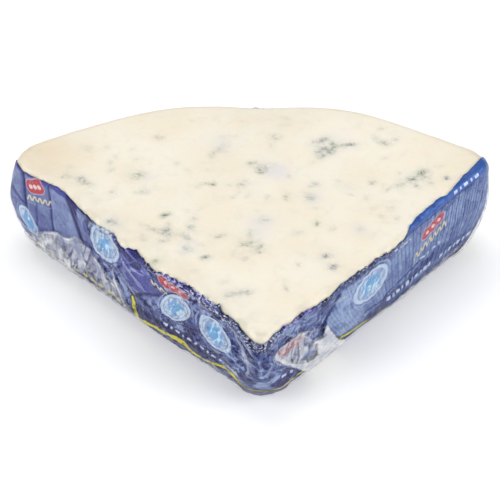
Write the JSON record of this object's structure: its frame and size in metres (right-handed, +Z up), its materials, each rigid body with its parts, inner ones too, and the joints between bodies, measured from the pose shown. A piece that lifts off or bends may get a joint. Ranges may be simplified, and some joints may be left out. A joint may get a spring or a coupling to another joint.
{
  "type": "wrapped blue cheese wedge",
  "caption": "Quarter-round wedge of soft blue-veined cheese on its base, open on top, its base and sides in printed foil with a sleeve of clear film round the sides.",
  "frame": {"origin": "on the floor, under the middle of the wedge's box", "axes": "+X across the wedge's widest part, +Y from the tip to the rind, +Z up"},
  "size_m": [0.2252, 0.1598, 0.0561],
  "materials": {
    "cheese": "soft, smooth, slightly moist cream paste with blue-grey veins",
    "printed_foil": null,
    "clear_film": "clear, wrinkled and glossy"
  },
  "bodies": {
    "root": {"cheese": "cheese", "foil_wrap": "printed_foil", "clear_film": "clear_film"}
  },
  "joints": []
}
